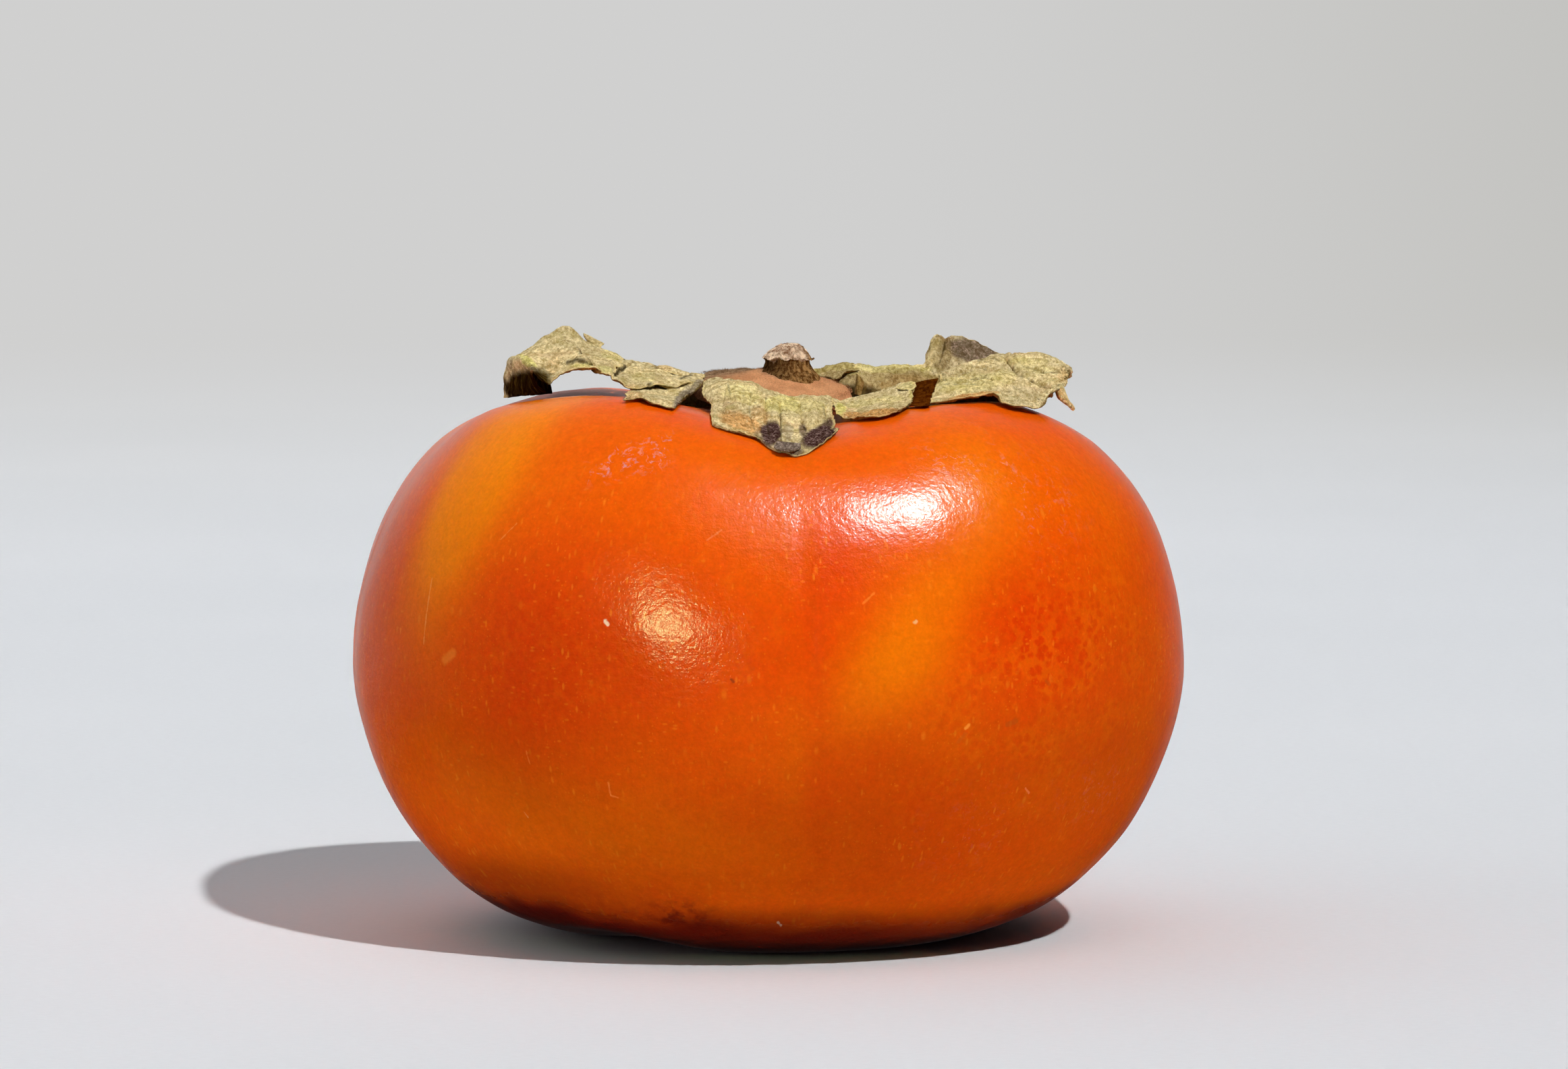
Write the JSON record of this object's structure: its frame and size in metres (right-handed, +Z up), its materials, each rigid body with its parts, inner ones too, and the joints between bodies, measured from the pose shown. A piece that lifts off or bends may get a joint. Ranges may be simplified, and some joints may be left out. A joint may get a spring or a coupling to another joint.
{
  "type": "persimmon fruit",
  "caption": "Whole squat persimmon with shallow lobes, a dried curled calyx, a fuzzy disc and a broken stem stub, standing on its flat base.",
  "frame": {"origin": "centre of the fruit's base, on the surface it stands on", "axes": "+Z up along the fruit's axis to the stem, -Y towards the front, where one sepal folds down over a furrow, +X to the right"},
  "size_m": [0.0808, 0.0808, 0.0587],
  "materials": {
    "fruit_skin": "waxy orange skin, glossy, with yellow patches, freckles and scuffs",
    "calyx_felt": "short reddish-brown felt",
    "dried_sepal": "dry crinkled olive and tan leaf, matt",
    "stem_wood": "fibrous dry stalk, broken end paler",
    "dried_style": "dry black-brown point"
  },
  "bodies": {
    "root": {"fruit": "fruit_skin", "calyx_disc": "calyx_felt", "sepal_front": "dried_sepal", "sepal_left": "dried_sepal", "sepal_right": "dried_sepal", "sepal_back": "dried_sepal", "stem_stub": "stem_wood", "style_remnant": "dried_style"}
  },
  "joints": []
}
